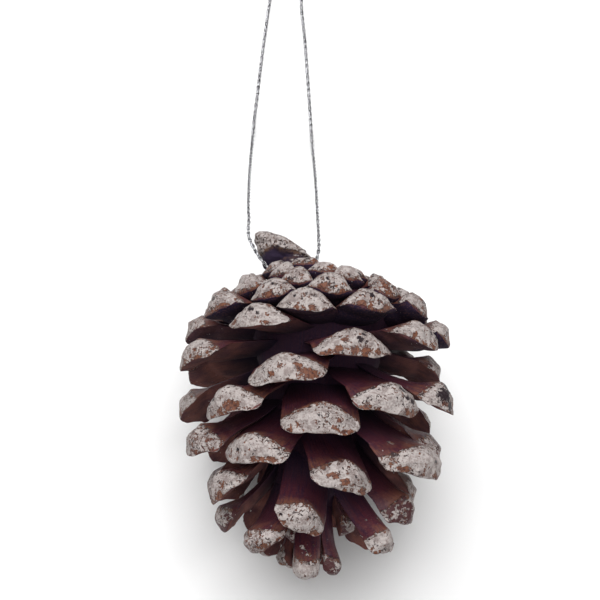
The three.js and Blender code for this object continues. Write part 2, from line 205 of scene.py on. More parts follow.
def scale_frame(n):
    """Where scale n's root and end are, and its directions: across it, ahead out of its end, up its back."""
    turn, drop, reach, roll, wide = LEANS.get(n, IN_LINE)
    angle = math.radians(PHASE + DIVERGENCE * n + turn + TURN_SPREAD * spread(n, TURN_KIND))
    slope = math.radians(along(END_SLOPE, n) + SLOPE_SPREAD * spread(n, SLOPE_KIND))
    out = np.array([math.sin(angle), 0, math.cos(angle)])
    across = np.array([math.cos(angle), 0, -math.sin(angle)])
    back = out * math.sin(slope) - TIPWARD * math.cos(slope)
    cosine, sine = math.cos(math.radians(roll)), math.sin(math.radians(roll))
    return {
        "across": across * cosine + back * sine,
        "ahead": out * math.cos(slope) + TIPWARD * math.sin(slope),
        "back": back * cosine - across * sine,
        "root": out * ROOT_RADIUS + TIPWARD * along(ROOT_PLACE, n),
        "end": out * (along(END_RADIUS, n) + reach) + TIPWARD * (along(END_PLACE, n) + drop),
        "width": along(HALF_WIDTH, n) * wide,
    }


def quadratic(a, b, c, share):
    """A point on the curve from a to c that bends towards b."""
    return a * (1 - share) ** 2 + b * 2 * share * (1 - share) + c * share ** 2


def scale_stations(n, frame):
    """Scale n from root to rim, a row for each station: top and bottom points, then the other measures."""
    width = frame["width"]
    height = along(FACE_HEIGHT, n)
    tilt = math.radians(along(FACE_TILT, n))
    ahead, back, root, end = (frame[key] for key in ("ahead", "back", "root", "end"))
    up = back * math.cos(tilt) - ahead * math.sin(tilt)
    facing = ahead * math.cos(tilt) + back * math.sin(tilt)
    crest = end + up * height / 2
    rim = end - up * height / 2
    reach = np.linalg.norm(root - end)
    waist = rim + back * WAIST_BACK * height - ahead * WAIST_BEHIND * reach
    bend = waist - ahead * BEND_BEHIND * reach
    setting = along(CORNER_SETBACK, n) * width
    rows = []
    for spec, half, unit in ((ROOT, min(ROOT_HALF_LIMIT, ROOT["half"] * width), 1),
                             (MIDDLE, MIDDLE["half"] * width, 1), (WAIST, WAIST["half"] * width, height)):
        at = quadratic(root, bend, waist, spec["share"])
        rows.append([*(at + back * spec["above"] * unit), *(at - back * spec["below"] * unit),
                     half, 0, STRAP_EDGE, STRAP_ROUND, 0])
    fullness = along(FULLNESS, n)
    raising = along(CORNER_RAISE, n) * height
    for fore, rise, face, behind, lift, half, setback, edge, corner in END_STATIONS:
        top = crest + ahead * fore * reach + up * rise * height + facing * face * height
        bottom = rim - ahead * behind * reach + back * lift * height
        rows.append([*top, *bottom, half * width, setback * setting, edge, fullness, corner * raising])
    return np.array(rows), up


# The fine mesh of a scale: rows from root to rim and columns from side to side, for each size of scale.
FINE_GRID = (48, 40)
DOME_GRID = (36, 32)
SMALL_GRID = (24, 20)
TIP_GRID = (40, 24)
PROFILE_POINTS = 400
END_SHARE = 0.55
SHOULDER_STATION = 3
CREST_STATION = 4
EDGE_CROWDING = 0.5

# How far its lines are rounded, in millimetres, and where the strap's rounding ends, as a share of the strap.
BLUR_REACH = 3
CORNER_ROUNDING = 0.35
STRAP_ROUNDING = 2.2
STRAP_FADE = 0.2
RIM_ROUNDING = 0.5
RIM_FADE = 3

# The waves of a rim on a large face, as (height in millimetres, waves from side to side, kind), and how high
# such a face is.
RIM_WAVES = [(0.4, 1.3, 1), (0.16, 2.9, 2), (0.05, 6.1, 3)]
LARGE_FACE = 9


def grid_size(n):
    """How many rows and columns scale n's fine mesh has."""
    if n <= LAST_SMALL_SCALE:
        return SMALL_GRID
    if n <= LAST_DOME_SCALE:
        return DOME_GRID
    if n >= FIRST_TIP_SCALE:
        return TIP_GRID
    return FINE_GRID


def lengths_along(line):
    """How far along a line each of its points is."""
    return np.concatenate([[0], np.cumsum(np.linalg.norm(np.diff(line, axis=0), axis=1))])


def resampled(rows, known, wanted):
    """Rows whose places along a line are known, at other places along it."""
    return np.stack([np.interp(wanted, known, column) for column in rows.T], axis=1)


def smoothed(values, steps):
    """Rows of values blurred along their length over a number of steps, with their ends kept."""
    reach = int(BLUR_REACH * steps) + 1
    weights = np.exp(-0.5 * (np.arange(-reach, reach + 1) / steps) ** 2)
    weights /= weights.sum()
    first, last = values[0], values[-1]
    before = 2 * first - values[reach:0:-1]
    after = 2 * last - values[-2:-reach - 2:-1]
    padded = np.concatenate([before, values, after])
    return np.stack([np.convolve(column, weights, "valid") for column in padded.T], axis=1)


def fine_stations(stations, rows):
    """The stations as many smooth rows, with most at the thick end, and where on the back each row is."""
    lengths = lengths_along(stations[:, :3])
    places = np.linspace(0, lengths[-1], PROFILE_POINTS)
    dense = resampled(stations, lengths, places)
    step = places[1]
    sharp = smoothed(dense, CORNER_ROUNDING / step)
    soft = smoothed(dense, STRAP_ROUNDING / step)
    shoulder, crest = lengths[SHOULDER_STATION], lengths[CREST_STATION]
    fade_from = shoulder * (1 - STRAP_FADE)
    weight = np.clip((places - fade_from) / (shoulder * STRAP_FADE), 0, 1)[:, None]
    dense = soft * (1 - weight) + sharp * weight
    strap_rows = int(rows * (1 - END_SHARE))
    at = np.concatenate([np.linspace(0, shoulder, strap_rows, endpoint=False),
                         np.linspace(shoulder, lengths[-1], rows - strap_rows)])
    return resampled(dense, places, at), at, crest, lengths[-1]


def rounded_rim(loop, rim):
    """The middle line of the back, down to the rim and along the underside, with its rim rounded."""
    lengths = lengths_along(loop)
    places = np.linspace(0, lengths[-1], 2 * PROFILE_POINTS)
    dense = smoothed(resampled(loop, lengths, places), RIM_ROUNDING / places[1])
    round_loop = resampled(dense, places, lengths)
    past = np.abs(lengths - lengths[rim]) - RIM_ROUNDING
    weight = np.clip(1 - past / (RIM_FADE * RIM_ROUNDING), 0, 1)[:, None]
    return loop * (1 - weight) + round_loop * weight


def rim_wave(n, share):
    """How far the rim runs up or down across scale n, in millimetres, from side to side."""
    return sum(size * math.sin(math.pi * (rate * share + spread(n, WAVE_KIND + kind)))
               for size, rate, kind in RIM_WAVES)


def scale_mesh(n):
    """Scale n as points and quads. Each point has a note of how far it is across, past the crest and above
    the rim, in millimetres, and its side: 1 on the back and -1 on the underside."""
    frame = scale_frame(n)
    stations, up = scale_stations(n, frame)
    row_count, column_count = grid_size(n)
    fine, at, crest, end = fine_stations(stations, row_count)
    shares = np.sin(np.linspace(-math.pi / 2, math.pi / 2, column_count + 1))
    shares = EDGE_CROWDING * shares + (1 - EDGE_CROWDING) * np.linspace(-1, 1, column_count + 1)
    face_height = end - crest
    top, bottom, half, setback, edge, fullness, corner = (
        fine[:, :3], fine[:, 3:6], fine[:, 6], fine[:, 7], fine[:, 8:9], fine[:, 9:10], fine[:, 10])
    side = bottom + (top - bottom) * edge
    near_rim = np.clip((at - crest) / face_height, 0, 1) ** 2 * (face_height / LARGE_FACE)
    loop = rounded_rim(np.concatenate([top, bottom[-2::-1]]), len(top) - 1)
    top, bottom = loop[:len(top)], loop[:len(top) - 2:-1]

    def skin(middle):
        """The points of one side of the scale, spread across it from its middle line."""
        columns = []
        for share in shares:
            columns.append(side + (middle - side) * (1 - abs(share) ** fullness)
                           + np.outer(share * half, frame["across"])
                           - np.outer(setback * share * share, frame["ahead"])
                           + np.outer(rim_wave(n, share) * near_rim + corner * share * share, up))
        return np.stack(columns, axis=1)

    above, below = skin(top), skin(bottom)
    rows, columns = above.shape[:2]
    index = np.arange(rows * columns).reshape(rows, columns)
    under = index + rows * columns
    shared = np.zeros((rows, columns), bool)
    shared[:, 0] = shared[:, -1] = shared[-1, :] = True
    under[shared] = index[shared]
    points = np.concatenate([above.reshape(-1, 3), below.reshape(-1, 3)])
    half = np.outer(half, shares)
    place = np.repeat(at[:, None], columns, axis=1)
    depth = np.where(place > crest, np.minimum(place - crest, face_height), place - crest)
    note = np.stack([half, depth, end - place], axis=-1).reshape(-1, 3)
    notes = np.concatenate([note, note])
    sides = np.concatenate([np.ones(rows * columns), -np.ones(rows * columns)])
    back = [index[:-1, :-1], index[1:, :-1], index[1:, 1:], index[:-1, 1:]]
    underside = [under[:-1, :-1], under[:-1, 1:], under[1:, 1:], under[1:, :-1]]
    root = [index[0, :-1], index[0, 1:], under[0, 1:], under[0, :-1]]
    quads = [np.stack(corners, -1).reshape(-1, 4) for corners in (back, underside, root)]
    return points, np.concatenate(quads), notes, sides


def in_scene(name, data):
    """A new object of the scene."""
    built = bpy.data.objects.new(name, data)
    bpy.context.scene.collection.objects.link(built)
    return built


def smooth_object(name, mesh):
    """A mesh as a smooth object of the scene."""
    mesh.polygons.foreach_set("use_smooth", [True] * len(mesh.polygons))
    return in_scene(name, mesh)


def mesh_object(name, points, faces, values):
    """A mesh object from points in the cone's frame, with values at its points that its material reads."""
    mesh = bpy.data.meshes.new(name)
    world = to_world(points)
    world[:, 2] = np.maximum(world[:, 2], 0)
    mesh.from_pydata(world.tolist(), [], [list(dict.fromkeys(face)) for face in faces])
    for key, value in values.items():
        kind, field = ("FLOAT", "value") if np.ndim(value) == 1 else ("FLOAT_VECTOR", "vector")
        attribute = mesh.attributes.new(key, kind, "POINT")
        attribute.data.foreach_set(field, np.asarray(value, np.float32).ravel())
    work = bmesh.new()
    work.from_mesh(mesh)
    bmesh.ops.delete(work, geom=[v for v in work.verts if not v.link_faces], context="VERTS")
    work.to_mesh(mesh)
    work.free()
    return smooth_object(name, mesh)


# How far the paint reaches past the crest of a scale onto its back, and where it starts above the rim.
PAINT_PAST_CREST = [(-75, 0.4), (18, 0.4), (20, 2.2), (31, 2.2)]
DOME_BROWN_BAND = 0.04
RIM_PAINT = 0.6

# The undersides of the crowded scales are dark with painted shade. It fades over some scales, up to this one.
LIT_UNDERSIDES = -14
UNDERSIDE_FADE = 8

# How much of its paint each scale end has lost. An end that isn't listed has lost about the middle value
# times the spread.
WEAR_SPREAD = 0.15
WEAR_MIDDLE = 1.6
WEAR = {
    -24: 0.35, -23: 0.3, -18: 0.1, -16: 0.05, -15: 0.9, -14: 0.8, -13: 0, -11: 0.4, -10: 0.35, -8: 0,
    -6: 0.45, -5: 0, -3: 0, -2: 0.6, -1: 0.3, 0: 0, 2: 0.55, 3: 0.1, 5: 0.05, 8: 0, 10: 0.1, 11: 0.8,
    13: 0, 15: 0.75, 16: 0.15, 18: 0.45, 19: 0.9, 21: 0, 23: 0.9, 24: 0.9, 26: 0.9, 27: 0.9, 29: 0.9,
    31: 0.9,
}

# The marks on the ends that face the camera: a mark's scale, how far it is to the right and above the rim,
# and its radius, in millimetres. A mark fades out over its radius times MARK_FADE.
MARK_FADE = 1.75
BROWN_MARKS = [
    (0, 4.2, 4.5, 0.8), (0, 3.2, 1.9, 0.9), (0, 6.8, 1.6, 1.3), (0, -7.5, 1.4, 1.2), (-13, -7.5, 1.6, 2),
    (-13, -4.5, 2, 1.4), (-13, -1, 1.4, 1.4), (-13, 2, 1.8, 1.5), (-13, 5.2, 2, 1.3), (-13, 8.2, 1.4, 1.5),
    (-13, -3, 5, 1), (-8, -2.5, 2.6, 1.1), (-8, 6.5, 3, 2.6), (-8, 4, 5, 1), (-3, 3.8, 2.4, 2.4),
    (-3, 0.5, 1.4, 1.2), (-16, -5.5, 2.8, 1.5), (-5, 2.5, 1.3, 1.1), (-5, 5, 1.5, 1.4), (-5, 8, 1.4, 1.2),
    (-5, -8.3, 1.5, 1.6), (8, -3.6, 4.4, 1.3), (8, -0.8, 2.4, 1.3), (8, 4.8, 1.5, 1.5), (5, 6.2, 2, 1.6),
    (5, 2, 1.2, 1), (10, -6.5, 1.5, 2), (10, -2, 0.8, 1.8), (10, 2, 0.8, 1.8), (13, 4.6, 2, 1.6),
    (3, -7.5, 2, 1.5), (3, 3, 1.2, 1.3), (-26, 3.5, 1.6, 1.3), (-26, -3.5, 1.4, 1.3), (-18, 3, 2, 1.1),
    (-21, 2, 1.2, 1), (-29, 0, 1.2, 1.2), (-34, -2, 1.2, 1), (-34, 3, 1.4, 1), (-16, 4, 1.2, 1),
]
PITS = [
    (0, -0.4, 4.8, 0.6), (-13, 0.6, 4.5, 0.9), (-13, 2, 6.2, 0.8), (-3, -2, 5, 0.8), (-3, -4, 4.4, 0.7),
    (-16, 0, 4.6, 0.9), (-16, 1.8, 3.8, 0.6), (-5, 1.8, 7.4, 1.3), (-5, 2.4, 4.8, 0.9), (-5, 4.2, 4.8, 1.1),
    (-18, 1.2, 4.6, 0.8), (-18, 3.8, 4, 0.8), (-26, -0.7, 4, 0.8), (13, -4.8, 3.4, 0.55),
    (13, 1.6, 5.4, 0.5), (5, -2.5, 4, 0.6), (-8, -4.5, 5.2, 0.6), (3, 2, 5, 0.8), (16, 2, 2.6, 0.6),
    (-10, -3, 5, 2.6), (-10, 0.5, 7, 2.2), (-10, -1, 2, 1.5), (-21, -2.5, 4.5, 0.6), (-29, 1, 4, 0.6),
    (-34, -1, 3.5, 0.6), (-24, 0, 4, 0.8), (-31, 1, 4, 0.8), (-39, 0, 3, 0.6), (8, 1.5, 4.6, 0.5),
]

# Splashes of paint on the backs: the scale, how far to the right and behind the crest, and the radius.
SPLASHES = [
    (10, 0.4, 6.4, 1.3), (10, 1.8, 7.6, 0.8), (10, -2.4, 5, 0.7), (16, 1.5, 4.5, 0.9), (16, 2.6, 7, 0.6),
    (16, -1.5, 6, 0.5), (21, 0, 4, 0.8), (21, -1.2, 6, 0.4), (21, 1.4, 7, 0.3), (3, -7, 4.5, 0.9),
    (-5, -5, 4, 0.4), (13, 2, 4, 0.4), (2, 0, 4, 0.6), (11, 1, 3, 0.5), (18, -2, 2.4, 0.9), (24, 0, 3, 0.6),
]


def marked(n, notes, sides, marks):
    """How near each point of scale n is to the middle of a mark: 1 in the middle and 0 outside."""
    near = np.zeros(len(notes))
    for scale, across, above, radius in marks:
        if scale == n:
            distance = np.hypot(notes[:, 0] - across, notes[:, 2] - above)
            near = np.maximum(near, 1 - distance / (MARK_FADE * radius))
    return np.where(sides > 0, near, 0)


def paint_depth(n, notes, sides):
    """How deep inside the painted area each point of scale n is, in millimetres. Bare wood is below zero."""
    past, above_rim = notes[:, 1], notes[:, 2]
    depth = past + along(PAINT_PAST_CREST, n)
    if n <= LAST_DOME_SCALE:
        depth = np.minimum(depth, above_rim - DOME_BROWN_BAND * along(FACE_HEIGHT, n))
    for scale, across, behind, radius in SPLASHES:
        if scale == n:
            distance = np.hypot(notes[:, 0] - across, past + behind)
            depth = np.maximum(depth, radius - distance)
    return np.where(sides > 0, depth, RIM_PAINT - above_rim)


# The lumps on the scale ends: how high they are and how far apart, in millimetres, and how far behind the
# crest they fade out.
LUMPS = [(0.3, 2.4), (0.14, 1.0)]
LUMP_FADE = 3


def lumpy(points, notes, sides, outward):
    """The points of a scale with low lumps on the back of its end."""
    weight = np.clip(1 + notes[:, 1] / LUMP_FADE, 0, 1) * np.clip(notes[:, 2], 0, 1) * (sides > 0)
    rise = sum(size * noise(points, apart) for size, apart in LUMPS)
    return points + np.outer(weight * rise, outward)


def scale_values(n, notes, sides):
    """What the material reads at the points of scale n."""
    # How much painted shade darkens the underside of scale n, as it lies crowded under others.
    painted_underside_shade = min(max((LIT_UNDERSIDES - n) / UNDERSIDE_FADE, 0), 1)
    wear = WEAR.get(n, WEAR_SPREAD * (WEAR_MIDDLE + spread(n, WEAR_KIND)))
    tone, painted_underside_shade, wear = (np.full(len(notes), value) for value in (spread(n, TONE_KIND), painted_underside_shade, wear))
    return {
        "paint_depth": paint_depth(n, notes, sides),
        "scale_place": notes,
        "traits": np.stack([tone, (1 - sides) / 2, painted_underside_shade], axis=1),
        "losses": np.stack([wear, marked(n, notes, sides, BROWN_MARKS), marked(n, notes, sides, PITS)], 1),
    }


def scales_object(name, numbers):
    """The scales of a part of the spiral as one piece."""
    points, faces, values = [], [], []
    count = 0
    for n in numbers:
        own, quads, notes, sides = scale_mesh(n)
        points.append(lumpy(own, notes, sides, scale_frame(n)["ahead"] + scale_frame(n)["back"]))
        faces.extend((quads + count).tolist())
        values.append(scale_values(n, notes, sides))
        count += len(own)
    return mesh_object(name, np.concatenate(points), faces,
                       {key: np.concatenate([own[key] for own in values]) for key in values[0]})


# The woody spindle inside, as (radius, place along the axis), and its grid of rings and sides. Its wood has
# the painted shade of a strap this deep behind the crest, and less of it at its bare stem end.
SPINDLE = [(0, -41), (8, -40.5), (15, -38.5), (20, -35), (21, -31), (18.5, -27), (16, -22), (14, -15),
           (12.5, -6), (10.5, 3), (9, 11), (6.5, 18), (0, 24)]
SPINDLE_GRID = (120, 64)
SPINDLE_KNOBS = 0.5
SPINDLE_CORE = 1
SPINDLE_ABOVE_RIM = 20.0
SPINDLE_DEPTH = 17
SPINDLE_BARE_DEPTH = 3
SPINDLE_BARE_FROM = 34
SPINDLE_BARE_OVER = 4
KNOB_SIZE = 3.0

# The neck, from inside the dome to under the stub.
NECK_BASE = np.array([-4.0, 35.0, 0.0])
NECK_TOP = np.array([-9.0, 48.5, -2.0])
NECK_RADIUS = 4.3
NECK_PROFILE = [(2.7, 0), (0.6, 0.45), (0, 0.7), (0, 1)]
NECK_GRID = (60, 72)
NECK_RELIEF = 0.22
NECK_CORE = 0.5
NECK_END_RADIUS = 0.2
NECK_ROOM = 8.5

# Its long ridges and its grit, and its whitewash, bare on the whole and patchy.
RIDGE_STRETCH = np.array([1, 0.25, 1])
RIDGE_SIZE = 1.1
GRIT_SIZE = 0.6
GRIT_SHARE = 0.5
PATCH_SIZE = 2.5
PATCH_DEPTH = 1.2
PATCH_BARE = 0.9
# Painted shade: how far the neck's bark darkens, as it lies in the stub's shadow.
NECK_PAINTED_SHADE = 0.6

# The broken stub on the neck: a woody lump, thick at its left end and thin at its right.
STUB_CENTRE = np.array([-11.0, 50.0, -2.0])
STUB_HALF_LENGTH = 8.1
STUB_HALF_DEPTH = 6.0
STUB_THICK = 3.4
STUB_THIN = 1.4
STUB_UNDER = 8.5
STUB_UNDER_POWER = 0.9
STUB_SQUARENESS = 0.7
STUB_TILT = math.radians(-18)
STUB_GRID = (110, 160)
STUB_CORE = 1

# Its layers, lumps and grit: how high and how large they are, in millimetres, how their places are squeezed,
# and how far their noise is moved.
STUB_LAYERS = (0.5, 1.2, (0.3, 1, 0.6), 0)
STUB_LUMPS = (0.4, 2.6, (1, 1, 1), 7)
STUB_GRAINS = (0.18, 0.6, (0.6, 1, 1), 3)

# Its whitewash reaches this far below its middle, further on its left flank and its lumps, and less far on
# its thin side.
WASH_BELOW = 1.1
WASH_LUMPS = 1.25
FLANK_PLACE = -1.5
FLANK_SLANT = 0.9
THIN_PLACE = -1
THIN_SLANT = 0.1
# Painted shade: how far below the whitewash the bare bark turns fully dark.
PAINTED_SHADE_BELOW = 1.2


def ring_faces(rings, sides):
    """The quads of a tube whose points come ring by ring."""
    index = np.arange(rings * sides).reshape(rings, sides)
    after = np.roll(index, -1, axis=1)
    return np.stack([index[:-1], after[:-1], after[1:], index[1:]], -1).reshape(-1, 4).tolist()


def revolved(radius, height, sides):
    """Points of a body of revolution about +Y, ring by ring."""
    angle = np.linspace(0, 2 * math.pi, sides, endpoint=False)
    return np.stack([np.outer(radius, np.sin(angle)), np.outer(height, np.ones(sides)),
                     np.outer(radius, np.cos(angle))], -1).reshape(-1, 3)


def turned_profile(profile, rings, sides):
    """Points of a body of revolution about +Y from (radius, y) given at a few places."""
    line = np.array(profile, float)
    lengths = lengths_along(line)
    radius, height = resampled(line, lengths, np.linspace(0, lengths[-1], rings)).T
    return revolved(radius, height, sides)


def away_from_axis(points, core):
    """Directions away from the Y axis, which fade to nothing inside a core of this radius."""
    outward = points * np.array([1, 0, 1])
    return outward / np.maximum(np.linalg.norm(outward, axis=1, keepdims=True), core)


def clear_of_neck(n):
    """Whether the end of scale n leaves room for the neck and the cord's turns round it."""
    direction = NECK_TOP - NECK_BASE
    direction = direction / np.linalg.norm(direction)
    away = scale_frame(n)["end"] - NECK_BASE
    return np.linalg.norm(away - direction * (away @ direction)) > NECK_ROOM


def spindle_object():
    """The spindle, dark with painted shade inside and brown at its bare stem end."""
    profile = [(radius, -place) for radius, place in reversed(SPINDLE)]
    points = turned_profile(profile, *SPINDLE_GRID)
    count = len(points)
    bare = np.clip((points[:, 1] - SPINDLE_BARE_FROM) / SPINDLE_BARE_OVER, 0, 1)
    past = SPINDLE_DEPTH * (bare - 1) - SPINDLE_BARE_DEPTH * bare
    values = {
        "paint_depth": np.full(count, -SPINDLE_DEPTH), "traits": np.zeros((count, 3)),
        "scale_place": np.stack([points[:, 0], past, np.full(count, SPINDLE_ABOVE_RIM)], axis=1),
        "losses": np.zeros((count, 3)),
    }
    knobs = noise(points, KNOB_SIZE) * SPINDLE_KNOBS - SPINDLE_KNOBS
    points = points + away_from_axis(points, SPINDLE_CORE) * knobs[:, None]
    return mesh_object("spindle", points, ring_faces(*SPINDLE_GRID), values)


def neck_turn():
    """The turn that takes +Y to the neck's direction, and the neck's length."""
    direction = Vector(NECK_TOP - NECK_BASE)
    return np.array(Vector((0, 1, 0)).rotation_difference(direction).to_matrix()), direction.length


def neck_object():
    """The neck, a flared post with ridges along it."""
    turn, length = neck_turn()
    profile = [(NECK_RADIUS + flare, share * length) for flare, share in NECK_PROFILE]
    profile = [(NECK_END_RADIUS, 0), *profile, (NECK_END_RADIUS, length)]
    points = turned_profile(profile, *NECK_GRID)
    ridges = noise(points * RIDGE_STRETCH, RIDGE_SIZE) + GRIT_SHARE * noise(points, GRIT_SIZE)
    points = points + away_from_axis(points, NECK_CORE) * (NECK_RELIEF * ridges)[:, None]
    points = points @ turn.T + NECK_BASE
    values = {"paint_depth": noise(points, PATCH_SIZE) * PATCH_DEPTH - PATCH_BARE,
              "dark": np.full(len(points), NECK_PAINTED_SHADE)}
    return mesh_object("neck", points, ring_faces(*NECK_GRID), values)


def relief(points, height, size, squeeze, shift):
    """How high noise raises points."""
    return height * noise(points * np.array(squeeze) + shift, size)


def stub_object():
    """The stub: a ridged lump, whitewashed above, with painted shade below where it narrows to the neck."""
    rings, sides = STUB_GRID
    polar = np.linspace(0, math.pi, rings)
    x, y, z = revolved(np.sin(polar), -np.cos(polar), sides).T
    out = np.repeat(np.sin(polar), sides)
    thickness = STUB_THICK + (STUB_THIN - STUB_THICK) * (x + 1) / 2
    above = thickness * np.abs(y) ** STUB_SQUARENESS
    below = -STUB_UNDER * (1 - out) ** STUB_UNDER_POWER
    points = np.stack([STUB_HALF_LENGTH * x, np.where(y > 0, above, below), STUB_HALF_DEPTH * z], axis=1)
    layers = relief(points, *STUB_LAYERS)
    lumps = relief(points, *STUB_LUMPS)
    grit = relief(points, *STUB_GRAINS)
    outward = points / np.maximum(np.linalg.norm(points, axis=1, keepdims=True), STUB_CORE)
    points = points + outward * (layers + lumps + grit)[:, None]
    flank = np.maximum(FLANK_PLACE - points[:, 0], 0) * FLANK_SLANT
    thin_side = np.maximum(points[:, 0] - THIN_PLACE, 0) * THIN_SLANT
    depth = points[:, 1] + WASH_BELOW + flank - thin_side + WASH_LUMPS * lumps
    cosine, sine = math.cos(STUB_TILT), math.sin(STUB_TILT)
    turn = np.array([[cosine, -sine, 0], [sine, cosine, 0], [0, 0, 1]])
    return mesh_object("stub", points @ turn.T + STUB_CENTRE, ring_faces(*STUB_GRID),
                       {"paint_depth": depth, "dark": np.clip(-depth / PAINTED_SHADE_BELOW, 0, 1)})


# The cord: two strands twisted together, its turns round the neck and its knot.
CORD_DIAMETER = 0.9
CLEARANCE = 0.3
WRAP_TURNS = 2
WRAP_SHARE = 0.66
WRAP_START = math.radians(-60)
WRAP_STEPS = 420
KNOT_PLACE = np.array([-12.2, 42.6, 1.8])
KNOT_RADIUS = 0.72
TREFOIL_REACH = 3
KNOT_STEPS = 90
STRAND_RADIUS = 0.26
STRAND_OFFSET = 0.22
TWIST_PITCH = 3.8
KNOT_TWIST = {"pitch": 2.0, "offset": 0.12, "radius": 0.2}
STRAND_SIDES = 7
FIRST_SIDE = [0.3, 0.2, 1.0]
CORD_STEP = 0.19
CURVE_STEPS = 40

# The loop of cord as it lies, from the knot over the floor and back to the other side of the wrap. These
# points are in the scene's frame, in millimetres.
CORD_ROUTE = [
    (-14.3, 34.3, 37.1), (-16.7, 36.7, 37.6), (-18.6, 39.5, 37.7), (-19.9, 42.3, 37.2), (-20.3, 45.1, 36.3),
    (-20.4, 48.4, 35), (-20.8, 51.9, 32.8), (-21.1, 56.4, 29.3), (-21.6, 65.5, 20.9), (-22, 75.6, 11.6),
    (-22.2, 85.2, 4), (-22.3, 93, 0.8), (-22.1, 99.3, 0.6), (-21.7, 112, 0.55), (-21.1, 125, 0.55),
    (-20.7, 132.9, 0.55), (-21, 143.9, 0.55), (-20.7, 152.9, 0.55), (-18.7, 158.4, 0.55),
    (-15.9, 160.4, 0.55), (-13.1, 158.2, 0.55), (-11.6, 151.9, 0.55), (-11.4, 142.9, 0.55),
    (-11.7, 132.3, 0.55), (-9.8, 119.4, 0.55), (-8.1, 106.8, 0.55), (-6.5, 94.3, 0.6), (-5.7, 87.6, 1.9),
    (-4.8, 79.4, 6.3), (-3.9, 70.4, 13.1), (-3.2, 61.2, 20.8), (-2.6, 52.4, 28), (-2.1, 45.4, 33.2),
    (-1.9, 42, 34.5), (-2, 40.1, 34.5), (-2.3, 38.4, 34.1),
]


def knotted_curve(knots, step):
    """Evenly spaced points on the centripetal Catmull-Rom curve through the knots."""
    knots = np.array(knots, float)
    knots = np.concatenate([[2 * knots[0] - knots[1]], knots, [2 * knots[-1] - knots[-2]]])
    found = []
    for a, b, c, d in zip(knots, knots[1:], knots[2:], knots[3:]):
        gaps = [math.sqrt(np.linalg.norm(q - p)) for p, q in ((a, b), (b, c), (c, d))]
        t0, t1, t2, t3 = 0, gaps[0], gaps[0] + gaps[1], sum(gaps)
        for t in np.linspace(t1, t2, CURVE_STEPS, endpoint=False):
            ab = a + (b - a) * (t - t0) / (t1 - t0)
            bc = b + (c - b) * (t - t1) / (t2 - t1)
            cd = c + (d - c) * (t - t2) / (t3 - t2)
            abc = ab + (bc - ab) * (t - t0) / (t2 - t0)
            bcd = bc + (cd - bc) * (t - t1) / (t3 - t1)
            found.append(abc + (bcd - abc) * (t - t1) / (t2 - t1))
    found = np.array(found + [knots[-2]])
    return evenly(found, step)


def evenly(line, step):
    """A line's points again, a step apart."""
    lengths = lengths_along(line)
    return resampled(line, lengths, np.linspace(0, lengths[-1], max(2, round(lengths[-1] / step))))


def directions_across(line):
    """Two directions across a line at each of its points, which turn as little as they can along it."""
    ahead = np.gradient(line, axis=0)
    ahead /= np.linalg.norm(ahead, axis=1, keepdims=True)
    side = np.cross(ahead[0], FIRST_SIDE)
    sides = []
    for direction in ahead:
        side = side - direction * (side @ direction)
        side = side / np.linalg.norm(side)
        sides.append(side)
    sides = np.array(sides)
    return sides, np.cross(ahead, sides)


def tube(line, radius, sides):
    """A closed tube round a line, as points and faces."""
    first, second = directions_across(line)
    angle = np.linspace(0, 2 * math.pi, sides, endpoint=False)
    ring = (line[:, None] + radius * (np.cos(angle)[None, :, None] * first[:, None]
                                      + np.sin(angle)[None, :, None] * second[:, None]))
    points = ring.reshape(-1, 3)
    faces = ring_faces(len(line), sides)
    last = (len(line) - 1) * sides
    return points, faces + [list(range(sides))[::-1], [last + i for i in range(sides)]]


def joined(parts):
    """Several sets of points and faces as one."""
    points, faces, count = [], [], 0
    for own, own_faces in parts:
        points.append(own)
        faces.extend([[i + count for i in face] for face in own_faces])
        count += len(own)
    return np.concatenate(points), faces


def twisted(line, pitch=TWIST_PITCH, offset=STRAND_OFFSET, radius=STRAND_RADIUS):
    """Two strands twisted together along a line, as a list of tubes."""
    first, second = directions_across(line)
    turn = 2 * math.pi * lengths_along(line) / pitch
    tubes = []
    for start in (0, math.pi):
        across = np.cos(turn + start)[:, None] * first + np.sin(turn + start)[:, None] * second
        tubes.append(tube(line + offset * across, radius, STRAND_SIDES))
    return tubes


def placed_mesh(name, parts):
    """A mesh object from tubes in the scene's frame, in millimetres."""
    points, faces = joined(parts)
    points[:, 2] = np.maximum(points[:, 2], 0)
    mesh = bpy.data.meshes.new(name)
    mesh.from_pydata((points * MM).tolist(), [], faces)
    return smooth_object(name, mesh)


def wrap_parts():
    """The cord's two turns round the neck, and the small knot beside them."""
    turn, length = neck_turn()
    share = np.linspace(0, 1, WRAP_STEPS)
    angle = WRAP_START + 2 * math.pi * WRAP_TURNS * share
    radius = NECK_RADIUS + CLEARANCE + CORD_DIAMETER / 2
    climb = CORD_DIAMETER * (share - 0.5)
    ring = np.stack([radius * np.sin(angle), climb, radius * np.cos(angle)], axis=1)
    foot = NECK_BASE + (NECK_TOP - NECK_BASE) * WRAP_SHARE
    ring = to_world(ring @ turn.T + foot) / MM
    t = np.linspace(0, 2 * math.pi, KNOT_STEPS)
    trefoil = np.stack([np.sin(t) + 2 * np.sin(2 * t), np.cos(t) - 2 * np.cos(2 * t), -np.sin(3 * t)], axis=1)
    knot = to_world(KNOT_PLACE + trefoil * KNOT_RADIUS / TREFOIL_REACH) / MM
    return twisted(evenly(ring, CORD_STEP)) + twisted(knot, **KNOT_TWIST)


# The room is dim on the cone's tip side, and bright on its stem side and above it.
ROOM_LIGHT = {"From Min": -0.7, "From Max": 0.6, "To Min": 0.38, "To Max": 0.66}

